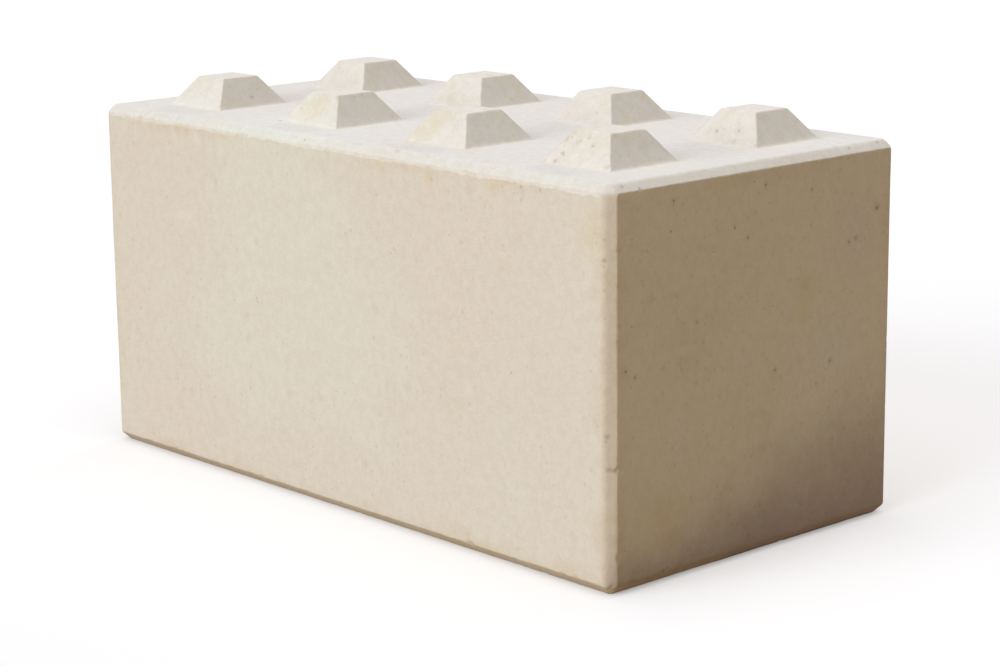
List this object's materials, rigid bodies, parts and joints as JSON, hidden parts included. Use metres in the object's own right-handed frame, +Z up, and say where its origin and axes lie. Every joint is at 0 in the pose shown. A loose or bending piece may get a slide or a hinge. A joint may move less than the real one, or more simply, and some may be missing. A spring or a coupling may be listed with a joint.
{
  "type": "interlocking concrete block",
  "caption": "Large cast concrete block with chamfered edges, a grid of square tapered studs on top and matching sockets below, stacked dry for walls and bays.",
  "frame": {"origin": "centre of the underside, on the floor", "axes": "+X along the length, +Y across the width away from the pictured long face, +Z up"},
  "size_m": [1.6, 0.8, 0.832],
  "materials": {
    "concrete": "matt, off-form, with fine air holes"
  },
  "bodies": {
    "root": {"concrete_block": "concrete"}
  },
  "joints": []
}
